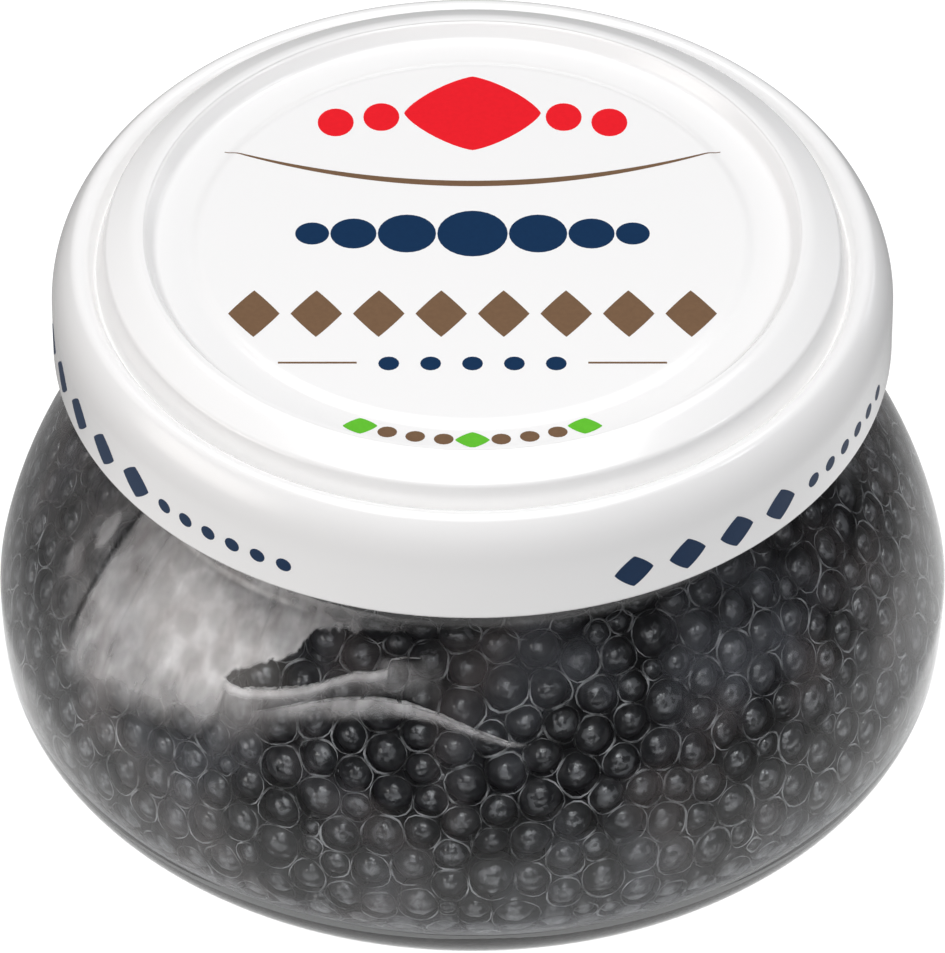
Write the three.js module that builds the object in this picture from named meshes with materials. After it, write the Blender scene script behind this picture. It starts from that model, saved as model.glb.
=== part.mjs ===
// A shut jar of small black fish-roe beads: a squat round glass jar, the heap of beads inside it,
// and a white pressed twist-off lid. Millimetres, +Z up. The origin is on the axis of the jar,
// on the surface that the jar stands on.
import * as THREE from 'three';

// Glass jar, outside
const bellyRadius = 39.9;         // the widest place
const bellyHeight = 9.4;          // height of the widest place
const heelRadius = 5.3;           // rounding from the side wall to the foot
const lowerSideRadius = 45;       // the nearly straight side between belly and heel
const bellyRounding = 8;          // the tighter bend at the widest place
const bellyTurn = 12;             // degrees that this bend turns through
const shoulderRadius = 38;        // the long round shoulder above it
const neckRadius = 29.8;
const neckFillet = 2;             // hollow rounding between shoulder and neck
const neckTop = 31.6;
const collarRadius = 32;          // the collar above the neck, which the lid grips
const collarBottom = 33.4;
const collarTop = 42.3;
const rimRadius = 29.6;           // the narrower sealing rim above the collar
const rimTop = 45.1;
const footWidth = 4.6;            // the flat ring that the jar stands on
const footRecess = 0.25;          // how far the underside is raised inside that ring

// Glass jar, inside
const wall = 2.2;
const boreRadius = 27.6;
const floorHeight = 2.4;
const innerHeelRadius = 5;
const jarSegments = 52;

// Beads
const beadsAround = 66;           // in one row, so a bead is 2.6 to 3.5 mm wide
const beadPitch = 2.72;           // from row to row, along the wall
const beadRelief = 0.75;          // from a bead's crown to the dip between three beads
const glassGap = 0.3;             // between the crowns and the glass
const fillHeight = 41.5;

// Lid
const skirtRadius = 34.75;
const skirtBottom = 35.2;
const curlHeight = 1.4;           // the rolled edge at the foot of the skirt
const curlDepth = 1.5;
const sheet = 0.55;               // thickness of the pressed metal
const lidShoulderRadius = 6.1;
const lidShoulderHeight = 40.4;   // where the skirt starts to round over
const lidShoulderTurn = 42;       // degrees
const lipRadius = 1;              // the raised lip at the end of the rounding
const lipEnd = 150;               // degrees, where the lip turns down into the groove
const grooveRadius = 31.1;        // the groove between the lip and the crest
const grooveHeight = 43.3;
const grooveFlat = 0.4;           // width of the groove's bottom
const crestEdgeRadius = 30.4;     // the sharp outer edge of the crest
const crestEdgeHeight = 45.8;
const crestRadius = 27.5;         // the highest ring of the lid
const crestHeight = 47.2;
const crestRoundWidth = 0.7;      // the crest's top is rounded this far on either side,
const crestRoundFall = 0.22;      // and falls by this much
const panelRadius = 26.2;         // the sunken panel inside the crest
const panelHeight = 45.8;
const stepOuterRadius = 23.3;     // a low step that raises the middle of the panel
const stepInnerRadius = 22.5;
const stepHeight = 0.3;
const lidSegments = 52;

// Finishes
const glassFinish = new THREE.MeshStandardMaterial({
  color: 0xd9dee0, roughness: 0.05, metalness: 0, transparent: true, opacity: 0.35,
});
const beadFinish = new THREE.MeshStandardMaterial({ color: 0x1d1c1e, roughness: 0.25, metalness: 0 });
const enamelFinish = new THREE.MeshStandardMaterial({ color: 0xf4f3f2, roughness: 0.2, metalness: 0 });

const radians = THREE.MathUtils.degToRad;

// Points [radius, height] along an arc, from one angle to another, in degrees from the horizontal.
function arc(centre, radius, from, to, steps) {
  const points = [];
  for (let i = 0; i <= steps; i += 1) {
    const angle = radians(from + ((to - from) * i) / steps);
    points.push([centre[0] + radius * Math.cos(angle), centre[1] + radius * Math.sin(angle)]);
  }
  return points;
}

// A point at a distance and an angle from another.
function pointFrom(point, distance, angle) {
  return [point[0] + distance * Math.cos(radians(angle)), point[1] + distance * Math.sin(radians(angle))];
}

// The second short side of a right-angled triangle, from its first one and its long side. It
// gives the centre of an arc that touches another arc.
function otherSide(shortSide, longSide) {
  return Math.sqrt(longSide * longSide - shortSide * shortSide);
}

// The angle, in degrees from the horizontal, at which a centre sees a point.
function angleTo(centre, point) {
  return THREE.MathUtils.radToDeg(Math.atan2(point[1] - centre[1], point[0] - centre[0]));
}

// Turns a profile about the vertical axis into one closed body. The profile starts and ends on
// the axis, and runs out along the underside, up the outside and back in along the top.
function turned(profile, segments) {
  const outline = profile.map(([radius, height]) => new THREE.Vector2(radius, height));
  const geometry = new THREE.LatheGeometry(outline, segments);
  geometry.rotateX(Math.PI / 2);
  return geometry;
}

// Centres of the arcs that the jar's wall is made of
const bellyCentre = [bellyRadius - bellyRounding, bellyHeight];
const shoulderCentre = pointFrom(bellyCentre, bellyRounding - shoulderRadius, bellyTurn);
const lowerSideCentre = [bellyRadius - lowerSideRadius, bellyHeight];
const heelCentre = [
  lowerSideCentre[0] + otherSide(bellyHeight - heelRadius, lowerSideRadius - heelRadius),
  heelRadius,
];
const filletCentre = [
  neckRadius + neckFillet,
  shoulderCentre[1] + otherSide(
    neckRadius + neckFillet - shoulderCentre[0],
    shoulderRadius + neckFillet,
  ),
];
const innerShoulderRadius = shoulderRadius - wall;
const innerFillet = neckFillet + wall;
const innerFilletCentre = [
  boreRadius + innerFillet,
  shoulderCentre[1] + otherSide(
    boreRadius + innerFillet - shoulderCentre[0],
    innerShoulderRadius + innerFillet,
  ),
];
const innerHeelCentre = [
  shoulderCentre[0] + otherSide(
    floorHeight + innerHeelRadius - shoulderCentre[1],
    innerShoulderRadius - innerHeelRadius,
  ),
  floorHeight + innerHeelRadius,
];

function jarOutside() {
  const heelTurn = angleTo(heelCentre, lowerSideCentre) - 180;
  const shoulderTurn = angleTo(shoulderCentre, filletCentre);
  const footInner = heelCentre[0] - footWidth;
  return [
    [0, footRecess],
    [footInner - footRecess, footRecess],
    [footInner, 0],
    ...arc(heelCentre, heelRadius, -90, heelTurn, 6),
    ...arc(bellyCentre, bellyRounding, 0, bellyTurn, 2),
    ...arc(shoulderCentre, shoulderRadius, bellyTurn, shoulderTurn, 5).slice(1),
    ...arc(filletCentre, neckFillet, shoulderTurn + 180, 180, 2).slice(1),
    [neckRadius, neckTop],
    [collarRadius, collarBottom],
    [collarRadius, collarTop],
    [rimRadius, collarTop],
    [rimRadius, rimTop],
  ];
}

// The inner wall from the floor up to the bore, moved inwards by a gap.
function jarInside(gap, steps) {
  const heelTurn = angleTo(shoulderCentre, innerHeelCentre);
  const shoulderTurn = angleTo(shoulderCentre, innerFilletCentre);
  return [
    ...arc(innerHeelCentre, innerHeelRadius - gap, -90, heelTurn, steps),
    ...arc(shoulderCentre, innerShoulderRadius - gap, heelTurn, shoulderTurn, steps).slice(1),
    ...arc(innerFilletCentre, innerFillet + gap, shoulderTurn + 180, 180, steps).slice(1),
  ];
}

function jar() {
  const inside = [[0, floorHeight], ...jarInside(0, 4), [boreRadius, rimTop]];
  return turned([...jarOutside(), ...inside.reverse()], jarSegments);
}

// The wall line that the beads lie against, as evenly spaced places from the floor up. There are
// three places to a row of beads, and one over.
function placesOnWall() {
  const fineSteps = 24;
  const line = [...jarInside(glassGap, fineSteps), [boreRadius - glassGap, fillHeight]]
    .map(([radius, height]) => new THREE.Vector2(radius, height));
  const path = new THREE.CurvePath();
  for (let i = 1; i < line.length; i += 1) path.add(new THREE.LineCurve(line[i - 1], line[i]));
  const rows = Math.round(path.getLength() / beadPitch);
  return { rows, places: path.getSpacedPoints(3 * rows + 1) };
}

// The heap of beads fills the jar up to a level. Its side is made of rows of six-sided bumps, one
// for each bead that lies against the glass: every crown is joined to the six dips round it, and
// each row is turned by half a bead from the row below.
function caviar() {
  const { rows, places } = placesOnWall();
  const positions = [];
  const triangles = [];

  function addPoint(radius, angle, height) {
    positions.push(radius * Math.cos(angle), radius * Math.sin(angle), height);
    return positions.length / 3 - 1;
  }

  // One point for each bead of a row, at a place on the wall and a depth in from it.
  function ring(place, shift, depth) {
    const here = places[place];
    const along = places[Math.min(place + 1, places.length - 1)]
      .clone().sub(places[Math.max(place - 1, 0)]).normalize();
    return Array.from({ length: beadsAround }, (_, i) => addPoint(
      here.x - along.y * depth,
      ((i + shift) / beadsAround) * 2 * Math.PI,
      here.y + along.x * depth,
    ));
  }

  const at = (points, i) => points[(i + beadsAround) % beadsAround];
  const shiftOf = (row) => (row % 2 === 0 ? 0 : 0.5);
  const dipsOver = (row, depth) => ({
    beside: ring(3 * row + 3, shiftOf(row) + 0.5, depth),
    above: ring(3 * row + 4, shiftOf(row), depth),
  });

  const floorDips = dipsOver(-1, 0);
  let below = floorDips;
  for (let row = 0; row < rows; row += 1) {
    const crowns = ring(3 * row + 2, shiftOf(row), 0);
    const over = dipsOver(row, beadRelief);
    const back = shiftOf(row) === 0 ? -1 : 0;
    for (let i = 0; i < beadsAround; i += 1) {
      const around = [
        at(over.beside, i), at(over.above, i), at(over.beside, i - 1),
        at(below.above, i + back), at(below.beside, i + back), at(below.above, i + back + 1),
      ];
      around.forEach((dip, k) => triangles.push(crowns[i], dip, around[(k + 1) % 6]));
    }
    below = over;
  }

  const floorMiddle = addPoint(0, 0, places[0].y);
  const topMiddle = addPoint(0, 0, fillHeight);
  for (let i = 0; i < beadsAround; i += 1) {
    triangles.push(floorMiddle, floorDips.beside[i], floorDips.above[i]);
    triangles.push(floorMiddle, at(floorDips.above, i + 1), floorDips.beside[i]);
    triangles.push(topMiddle, below.above[i], below.beside[i]);
    triangles.push(topMiddle, below.beside[i], at(below.above, i + 1));
  }

  const geometry = new THREE.BufferGeometry();
  geometry.setAttribute('position', new THREE.Float32BufferAttribute(positions, 3));
  geometry.setIndex(triangles);
  geometry.computeVertexNormals();
  return geometry;
}

// The lid is one sheet: a smooth underside, and an outside with the rolled edge, the rounding, the
// lip, the groove, the crest and the sunken panel with its low step.
function lid() {
  const shoulderCentreOfLid = [skirtRadius - lidShoulderRadius, lidShoulderHeight];
  const lipCentre = pointFrom(shoulderCentreOfLid, lidShoulderRadius - lipRadius, lidShoulderTurn);
  const curlRadius = curlHeight / 2;
  const outside = [
    ...arc([skirtRadius - curlRadius, skirtBottom + curlRadius], curlRadius, -90, 0, 2),
    ...arc(shoulderCentreOfLid, lidShoulderRadius, 0, lidShoulderTurn, 4),
    ...arc(lipCentre, lipRadius, lidShoulderTurn, lipEnd, 3).slice(1),
    [grooveRadius + grooveFlat / 2, grooveHeight],
    [grooveRadius - grooveFlat / 2, grooveHeight],
    [crestEdgeRadius, crestEdgeHeight],
    [crestRadius + crestRoundWidth, crestHeight - crestRoundFall],
    [crestRadius, crestHeight],
    [crestRadius - crestRoundWidth, crestHeight - crestRoundFall],
    [panelRadius, panelHeight],
    [stepOuterRadius, panelHeight],
    [stepInnerRadius, panelHeight + stepHeight],
    [0, panelHeight + stepHeight],
  ];
  const underside = [
    [0, panelHeight - sheet],
    [panelRadius + sheet, panelHeight - sheet],
    [crestRadius + sheet / 2, crestHeight - 2 * sheet],
    [crestEdgeRadius - sheet, crestEdgeHeight - sheet],
    [grooveRadius - 2 * sheet, grooveHeight - sheet],
    [grooveRadius + grooveFlat, grooveHeight - sheet],
    ...arc(shoulderCentreOfLid, lidShoulderRadius - sheet, lidShoulderTurn, 0, 3),
    [skirtRadius - sheet, skirtBottom + curlHeight],
    [skirtRadius - curlDepth, skirtBottom + curlHeight],
    [skirtRadius - curlDepth, skirtBottom],
  ];
  return turned([...underside, ...outside], lidSegments);
}

function piece(name, geometry, material) {
  const mesh = new THREE.Mesh(geometry, material);
  mesh.name = name;
  return mesh;
}

const part = new THREE.Group();
part.add(piece('jar', jar(), glassFinish));
part.add(piece('caviar', caviar(), beadFinish));
part.add(piece('lid', lid(), enamelFinish));

export default part;
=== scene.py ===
# %% [markdown]
# # A shut jar of small black roe beads
# The object is a squat round glass jar. It is full of glossy black beads of fish roe that lie in a
# little clear jelly, and it is shut by a white enamelled twist-off lid with a printed pattern.
# The imported CAD model is loaded first. The sizes named here are those of its parts.
# Sizes are named in millimetres, as on a drawing, and become metres when a mesh is made.

# %% Load the imported model
import math

import bmesh
import bpy
import numpy as np
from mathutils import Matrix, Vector, kdtree


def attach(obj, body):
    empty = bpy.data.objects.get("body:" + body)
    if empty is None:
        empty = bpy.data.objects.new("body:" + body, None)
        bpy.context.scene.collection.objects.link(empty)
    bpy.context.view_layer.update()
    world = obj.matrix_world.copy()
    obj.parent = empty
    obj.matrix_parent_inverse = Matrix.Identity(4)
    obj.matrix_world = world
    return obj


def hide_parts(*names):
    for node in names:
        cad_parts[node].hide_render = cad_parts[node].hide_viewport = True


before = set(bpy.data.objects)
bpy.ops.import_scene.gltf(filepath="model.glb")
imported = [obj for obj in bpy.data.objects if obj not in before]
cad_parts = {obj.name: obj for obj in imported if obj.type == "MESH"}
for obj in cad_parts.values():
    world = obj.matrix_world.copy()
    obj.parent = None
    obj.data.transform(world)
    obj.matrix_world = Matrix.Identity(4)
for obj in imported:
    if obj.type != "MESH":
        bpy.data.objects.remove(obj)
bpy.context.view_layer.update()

MM = 0.001
print("CAD nodes:", sorted(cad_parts))

# %% [markdown]
# ## Camera
# The rings of the lid show as ellipses whose height is about two thirds of their width, so the
# camera looks down at 41.6 degrees. The distance comes from how much wider the near side of the
# lid is than the far side: 0.9 m, with a long lens. It looks along +Y at the middle of the jar.

# %% Camera
camera_distance = 0.9
camera_elevation = math.radians(41.62)
camera_target = Vector((0, 0, 0.01997))
camera_data = bpy.data.cameras.new("camera")
camera_data.sensor_fit = "HORIZONTAL"
camera_data.sensor_width = 36
camera_data.lens = 408.7
camera = bpy.data.objects.new("camera", camera_data)
bpy.context.scene.collection.objects.link(camera)
towards_camera = Vector((0, -math.cos(camera_elevation), math.sin(camera_elevation)))
camera.location = camera_target + camera_distance * towards_camera
camera.rotation_euler = (math.pi / 2 - camera_elevation, 0, 0)
bpy.context.scene.camera = camera
print("camera at", [round(value, 3) for value in camera.location])

# %% [markdown]
# ## The profile of the jar
# A glass jar is blown in a mould and is the same all round, so one profile gives its whole shape.
# Its wall is made of arcs that run into each other without a corner: the heel, the belly, the
# long shoulder and the hollow under the neck. The centres follow from the sizes, as in a drawing
# made with compasses. The inner wall has the same centre at the shoulder and a rounder heel.

# %% Arcs and their centres
def point_at(centre, radius, turn):
    """The point [radius, height] of a circle at an angle in degrees."""
    turn = math.radians(turn)
    return centre[0] + radius * math.cos(turn), centre[1] + radius * math.sin(turn)


def arc(centre, radius, start, end, steps):
    """Points along an arc, between two angles in degrees."""
    return [point_at(centre, radius, turn) for turn in np.linspace(start, end, steps + 1)]


def other_side(short_side, long_side):
    """The second short side of a right-angled triangle."""
    return math.sqrt(long_side ** 2 - short_side ** 2)


def angle_to(centre, point):
    """The angle, in degrees from the horizontal, at which a centre sees a point."""
    return math.degrees(math.atan2(point[1] - centre[1], point[0] - centre[0]))


belly_radius, belly_height = 39.9, 9.4
belly_rounding, belly_turn = 8, 12
heel_radius, lower_side_radius = 5.3, 45
shoulder_radius = 38
neck_radius, neck_fillet, neck_top = 29.8, 2, 31.6
collar_radius, collar_bottom, collar_top = 32, 33.4, 42.3
rim_radius, rim_top = 29.6, 45.1
foot_width, foot_recess = 4.6, 0.25
wall, bore_radius, floor_height, inner_heel = 2.2, 27.6, 2.4, 5
fill_height = 41.5

belly_centre = (belly_radius - belly_rounding, belly_height)
shoulder_centre = point_at(belly_centre, belly_rounding - shoulder_radius, belly_turn)
lower_centre = (belly_radius - lower_side_radius, belly_height)
heel_centre = (
    lower_centre[0] + other_side(belly_height - heel_radius, lower_side_radius - heel_radius),
    heel_radius,
)


def fillet_to(radius, fillet, shoulder):
    """The centre of the hollow between the shoulder and an upright wall."""
    across = radius + fillet - shoulder_centre[0]
    return radius + fillet, shoulder_centre[1] + other_side(across, shoulder + fillet)


inner_shoulder, inner_fillet = shoulder_radius - wall, neck_fillet + wall
fillet_centre = fillet_to(neck_radius, neck_fillet, shoulder_radius)
inner_fillet_centre = fillet_to(bore_radius, inner_fillet, inner_shoulder)
inner_heel_centre = (
    shoulder_centre[0]
    + other_side(floor_height + inner_heel - shoulder_centre[1], inner_shoulder - inner_heel),
    floor_height + inner_heel,
)
print("belly centre", belly_centre, "shoulder centre", shoulder_centre)

# %% Outside and inside profiles
def jar_outside():
    """From the middle of the underside, round the heel and up to the sealing rim."""
    heel_turn = angle_to(heel_centre, lower_centre) - 180
    shoulder_turn = angle_to(shoulder_centre, fillet_centre)
    foot_inner = heel_centre[0] - foot_width
    return [
        (0, foot_recess),
        (foot_inner - foot_recess - 0.2, foot_recess),
        (foot_inner - foot_recess, foot_recess - 0.04),
        (foot_inner - 0.1, 0.07),
        (foot_inner + 0.2, 0),
        *arc(heel_centre, heel_radius, -90, heel_turn, 16),
        *arc(lower_centre, lower_side_radius, angle_to(lower_centre, heel_centre), 0, 4)[1:-1],
        *arc(belly_centre, belly_rounding, 0, belly_turn, 5),
        *arc(shoulder_centre, shoulder_radius, belly_turn, shoulder_turn, 30)[1:],
        *arc(fillet_centre, neck_fillet, shoulder_turn + 180, 180, 10)[1:],
        (neck_radius, neck_top),
        (collar_radius, collar_bottom),
        (collar_radius, collar_top - 0.3),
        (collar_radius - 0.3, collar_top),
        (rim_radius, collar_top),
        (rim_radius, rim_top - 0.4),
        (rim_radius - 0.4, rim_top),
    ]


def jar_inside(gap, steps):
    """From the floor's edge up to the bore, moved inwards by a gap."""
    heel_turn = angle_to(shoulder_centre, inner_heel_centre)
    shoulder_turn = angle_to(shoulder_centre, inner_fillet_centre)
    return [
        *arc(inner_heel_centre, inner_heel - gap, -90, heel_turn, steps),
        *arc(shoulder_centre, inner_shoulder - gap, heel_turn, shoulder_turn, steps)[1:],
        *arc(inner_fillet_centre, inner_fillet + gap, shoulder_turn + 180, 180, steps)[1:],
    ]


print("outside profile:", len(jar_outside()), "points")

# %% [markdown]
# ## Turning a profile into a mesh
# The Screw modifier or the Spin tool could turn the profile. Both leave doubled points where the
# ends meet and on the axis, which have to be merged afterwards. Writing the rings of points here
# keeps every seam and pole closed from the start, and all faces point outwards, because the
# profile always runs out along the underside, up the outside and back in along the top.

# %% Turned bodies and pieces
crease_angle, no_crease = 35, 180


def mesh_from(name, points, faces, sharp=crease_angle):
    """A smooth mesh from points in millimetres, with edges kept sharp above an angle."""
    mesh = bpy.data.meshes.new(name)
    mesh.from_pydata([(x * MM, y * MM, z * MM) for x, y, z in points], [], faces)
    mesh.polygons.foreach_set("use_smooth", [True] * len(mesh.polygons))
    mesh.set_sharp_from_angle(angle=math.radians(sharp))
    return mesh


def turned(name, profile, segments, sharp=crease_angle):
    """One body of revolution, which is closed where its profile starts and ends on the axis."""
    points = []
    rings = []
    for radius, height in profile:
        around = segments if radius > 1e-6 else 1
        rings.append([len(points) + i for i in range(around)])
        for i in range(around):
            angle = 2 * math.pi * i / segments
            points.append((radius * math.cos(angle), radius * math.sin(angle), height))
    faces = []
    for lower, upper in zip(rings, rings[1:]):
        for i in range(segments):
            j = (i + 1) % segments
            if len(lower) == 1:
                faces.append((lower[0], upper[j], upper[i]))
            elif len(upper) == 1:
                faces.append((lower[i], lower[j], upper[0]))
            else:
                faces.append((lower[i], lower[j], upper[j], upper[i]))
    return mesh_from(name, points, faces, sharp)


def add_piece(name, mesh, *materials):
    """Puts a mesh into the scene under its name, at the origin."""
    mesh.materials.clear()
    for material in materials:
        mesh.materials.append(material)
    piece = bpy.data.objects.new(name, mesh)
    bpy.context.scene.collection.objects.link(piece)
    print(name, "has", len(mesh.polygons), "faces")
    return piece


# %% [markdown]
# ## Finishes and their nodes
# Each finish is a Principled shader with a few nodes in front of it. Numbers that are the same
# all over a surface sit on the shader's own sockets. Patterns read Object coordinates, so they
# stay on the piece from every side.

# %% Helpers for finishes
def fill_in(node, inputs):
    """Sets a node's inputs to values, or links them to sockets of other nodes."""
    for name, value in inputs.items():
        if isinstance(value, bpy.types.NodeSocket):
            node.id_data.links.new(value, node.inputs[name])
        else:
            node.inputs[name].default_value = value


def add_node(tree, kind, inputs=None, **settings):
    """A node with its settings made and its inputs filled in."""
    node = tree.nodes.new(kind)
    for setting, value in settings.items():
        setattr(node, setting, value)
    fill_in(node, inputs or {})
    return node


def new_finish(name, sockets):
    """A material with a Principled shader whose named sockets are set."""
    material = bpy.data.materials.new(name)
    material.use_nodes = True
    tree = material.node_tree
    shader = tree.nodes["Principled BSDF"]
    fill_in(shader, sockets)
    return material, tree, shader


def object_place(tree):
    """A place on the piece in Object coordinates, as one vector and as its three parts."""
    place = add_node(tree, "ShaderNodeTexCoord").outputs["Object"]
    parts = add_node(tree, "ShaderNodeSeparateXYZ", {"Vector": place})
    return place, *parts.outputs


def noise_from_place(tree, scale, detail, stretch=(1, 1, 1)):
    """Noise over the piece in Object coordinates, in patches per metre, stretched along an axis."""
    place = add_node(tree, "ShaderNodeTexCoord").outputs["Object"]
    mapping = add_node(tree, "ShaderNodeMapping", {"Vector": place, "Scale": stretch})
    noise = add_node(tree, "ShaderNodeTexNoise", {
        "Vector": mapping.outputs["Vector"], "Scale": scale, "Detail": detail,
    })
    return noise.outputs["Fac"]


def shades(tree, factor, steps):
    """A tone that follows [position, grey or colour] steps as the factor goes from 0 to 1."""
    node = add_node(tree, "ShaderNodeValToRGB", {"Fac": factor})
    points = node.color_ramp.elements
    points[-1].position = steps[-1][0]
    points[0].position = steps[0][0]
    for position, tone in steps[1:-1]:
        points.new(position)
    for point, (position, tone) in zip(points, steps):
        point.color = (*tone, 1) if isinstance(tone, tuple) else (tone, tone, tone, 1)
    return node.outputs["Color"]


def tone_between(tree, factor, dark, pale, start=0.0, end=1.0):
    """A colour that runs from dark to pale as the factor goes from start to end."""
    return shades(tree, factor, ((start, dark), (end, pale)))


def spread(tree, value, start, end, low, high, kind="SMOOTHSTEP"):
    """A number that runs from low to high as a value goes from start to end."""
    node = add_node(tree, "ShaderNodeMapRange", {
        "Value": value, "From Min": start, "From Max": end, "To Min": low, "To Max": high,
    }, interpolation_type=kind)
    return node.outputs["Result"]


def math_node(tree, operation, *values):
    """A math node on sockets or numbers."""
    return add_node(tree, "ShaderNodeMath", dict(enumerate(values)), operation=operation).outputs["Value"]


def long_side(tree, first, second):
    """The longest side of a right-angled triangle."""
    squares = [math_node(tree, "MULTIPLY", side, side) for side in (first, second)]
    return math_node(tree, "SQRT", math_node(tree, "ADD", *squares))


def mixed_colour(tree, factor, first, second):
    """A mix of two colours by a factor from 0 to 1. A Mix node's colours are sockets 6 and 7."""
    return add_node(tree, "ShaderNodeMix", {0: factor, 6: first, 7: second}, data_type="RGBA").outputs[2]


def relief(tree, shader, height, depth, strength=1.0):
    """Fine relief on a surface, whose height runs from 0 to 1 over a depth in millimetres."""
    bump = add_node(tree, "ShaderNodeBump", {
        "Height": height, "Distance": depth * MM, "Strength": strength,
    })
    normal = bump.outputs["Normal"]
    fill_in(shader, {"Normal": normal, "Coat Normal": normal})


def let_lamps_through(tree, shader, tint):
    """Clear glass casts almost no shadow, so rays towards a lamp pass straight through it."""
    clear = add_node(tree, "ShaderNodeBsdfTransparent", {"Color": tint})
    mix = add_node(tree, "ShaderNodeMixShader", {
        0: add_node(tree, "ShaderNodeLightPath").outputs["Is Shadow Ray"],
        1: shader.outputs["BSDF"],
        2: clear.outputs["BSDF"],
    })
    fill_in(tree.nodes["Material Output"], {"Surface": mix.outputs["Shader"]})


print("helpers are ready; each reads Object coordinates only")

# %% [markdown]
# ## The glass
# The jar is one piece of clear glass, and everything in it is seen through the curved outside,
# which bends the light and mirrors the room. So the wall has its real thickness and glass outside.
# Inside, wet jelly lies against the glass and bends light nearly as much as glass does, so that
# face hardly shows on the real jar. A second glass face there would mirror the lamps once more,
# so the inner faces get a clear finish of their own, which only tints a little.

# %% Glass jar
glass_segments = 192
rim_rounding = 0.4
outside = jar_outside()
inside = [
    (0, floor_height),
    *jar_inside(0, 16),
    (bore_radius, rim_top - rim_rounding),
    (bore_radius + rim_rounding, rim_top),
]
glass_mesh = turned("glass", outside + inside[::-1], glass_segments, sharp=12)
glass_finish, tree, shader = new_finish("clear_jar_glass", {
    "Base Color": (0.97, 0.985, 1, 1),
    "Roughness": 0.0,
    "IOR": 1.5,
    "Transmission Weight": 1.0,
})
relief(tree, shader, noise_from_place(tree, 60, 1), 0.12, 0.5)
let_lamps_through(tree, shader, (0.94, 0.95, 0.96, 1))

wet_finish, tree, shader = new_finish("wet_inner_glass", {})
tree.nodes.remove(shader)
tint = tone_between(tree, noise_from_place(tree, 45, 2), (0.93, 0.94, 0.95), (0.97, 0.98, 0.98))
wet_face = add_node(tree, "ShaderNodeBsdfTransparent", {"Color": tint})
fill_in(tree.nodes["Material Output"], {"Surface": wet_face.outputs["BSDF"]})

glass = add_piece("glass_jar", glass_mesh, glass_finish, wet_finish)
first_inner = (len(outside) + 1) * glass_segments
wet_faces = [face for face in glass_mesh.polygons if face.index >= first_inner]
for face in wet_faces:
    face.material_index = 1
print(len(wet_faces), "inner faces are wet")

# %% [markdown]
# ## How the beads lie
# Beads that are poured into a jar press against the glass in a layer without any order: most
# are the same size, a few are small, and each finds its own place. A grid would show as rows.
# So the beads are thrown at random on the wall line and then push each other apart, a little at
# a time, until they all just touch. The line runs from the middle of the floor to the filling
# height, and a place on it is a length along the line and an angle round the axis.

# %% The wall line
line_points = np.array([(0, floor_height), *jar_inside(0, 60), (bore_radius, fill_height - 1.2)])
line_steps = np.hypot(*np.diff(line_points, axis=0).T)
line_lengths = np.concatenate([[0], np.cumsum(line_steps)])
line_length = line_lengths[-1]


def line_radius(along):
    """The radius of the wall line at lengths along it."""
    return np.interp(along, line_lengths, line_points[:, 0])


def line_height(along):
    """The height of the wall line at lengths along it."""
    return np.interp(along, line_lengths, line_points[:, 1])


def on_wall(along, angle, depth):
    """Points at lengths along the wall line, angles round the axis and depths inside the glass."""
    fine = 0.05
    middle = np.clip(along, fine, line_length - fine)
    slope_r = line_radius(middle + fine) - line_radius(middle - fine)
    slope_z = line_height(middle + fine) - line_height(middle - fine)
    slope = np.hypot(slope_r, slope_z)
    radius = line_radius(along) - slope_z / slope * depth
    height = line_height(along) + slope_r / slope * depth
    return np.stack([radius * np.cos(angle), radius * np.sin(angle), height], axis=-1)


def wall_directions(along, angle, depth):
    """The directions up the wall and round it at each place."""
    step = on_wall(along + 0.1, angle, depth) - on_wall(along - 0.1, angle, depth)
    up_wall = step / np.linalg.norm(step, axis=1)[:, None]
    return up_wall, np.stack([-np.sin(angle), np.cos(angle), 0 * angle], axis=1)


print("wall line is", round(line_length, 1), "mm long")

# %% Beads push each other apart
neighbour_reach = 5
search_every, push_share = 8, 0.45


def settle(radii, depth, seed, rounds=160, softness=0.97):
    """Places for beads of given radii, at a depth inside the glass, so that they just touch."""
    chance = np.random.default_rng(seed)
    samples = np.linspace(0, line_length, 400)
    weights = line_radius(samples) + 0.3
    along = np.interp(chance.random(len(radii)), np.cumsum(weights) / weights.sum(), samples)
    angle = chance.random(len(radii)) * 2 * math.pi
    for count in range(rounds):
        places = on_wall(along, angle, depth)
        if count % search_every == 0:
            apart = np.linalg.norm(places[:, None] - places[None], axis=-1)
            first, second = np.nonzero(np.triu(apart < neighbour_reach, 1))
        between = places[first] - places[second]
        gap = np.linalg.norm(between, axis=1)
        overlap = np.maximum(softness * (radii[first] + radii[second]) - gap, 0)
        push = between / np.maximum(gap, 1e-6)[:, None] * (push_share * overlap)[:, None]
        moves = np.zeros_like(places)
        np.add.at(moves, first, push)
        np.add.at(moves, second, -push)
        up_wall, round_wall = wall_directions(along, angle, depth)
        radius = np.maximum(np.hypot(places[:, 0], places[:, 1]), 1)
        along = along + (moves * up_wall).sum(1)
        angle = angle + (moves * round_wall).sum(1) / radius
        angle = np.where(along < 0, angle + math.pi, angle)
        along = np.clip(np.abs(along), 0, line_length)
    print(len(radii), "beads settled, largest overlap", round(float(overlap.max()), 2), "mm")
    return along, angle


bead_count, bead_depth = 1300, 1.7
small_share = 0.09
chance = np.random.default_rng(4)
radii = np.clip(chance.normal(1.64, 0.15, bead_count), 1.3, 2.0)
small = chance.random(bead_count) < small_share
radii = np.where(small, chance.uniform(0.7, 1.15, bead_count), radii)
along, angle = settle(radii, bead_depth, seed=7)

# %% [markdown]
# ## The beads
# A bead is a soft ball, and no two are quite alike. Geometry Nodes puts one low ball on each
# place, at its own size and turned its own way, joins them into one mesh and dents them with
# noise. A collection of separate objects would be slow and couldn't be exported as one piece.

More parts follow.
